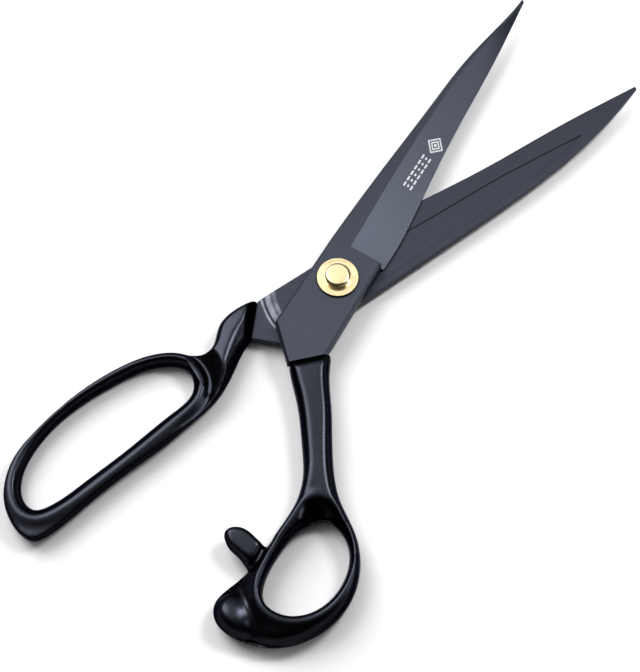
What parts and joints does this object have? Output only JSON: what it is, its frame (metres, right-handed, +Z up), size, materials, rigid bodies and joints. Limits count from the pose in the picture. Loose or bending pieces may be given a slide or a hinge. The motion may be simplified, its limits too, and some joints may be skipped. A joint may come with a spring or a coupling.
{
  "type": "fabric shears",
  "caption": "Bent-handle tailor's shears with two ground blades crossing on an adjustable brass pivot, a thumb bow and a long finger bow, for cutting cloth.",
  "frame": {"origin": "on the pivot axis, at the flat underside of the tension nut, level with the table the shears lie on", "axes": "+Z up off the table along the pivot, +Y midway between the two blades towards their tips, +X to the side of the thumb bow"},
  "size_m": [0.1096, 0.2496, 0.0143],
  "materials": {
    "coated_steel": "satin blue-black coating over ground steel",
    "black_enamel": "gloss black enamel on a casting",
    "brass": "turned and polished",
    "spring_steel": "bright"
  },
  "bodies": {
    "finger_half": {"finger_blade": "coated_steel", "finger_handle": "black_enamel", "pivot_bolt": "brass", "head_washer": "brass", "spring_washer": "spring_steel", "back_washer": "brass", "tension_nut": "brass"},
    "thumb_half": {"thumb_blade": "coated_steel", "thumb_handle": "black_enamel"}
  },
  "joints": [
    {"name": "pivot", "type": "hinge", "parent": "finger_half", "child": "thumb_half", "pos_m": [0, 0, 0.0062], "axis": [0, 0, 1], "range_deg": [-22.8, 42]}
  ]
}
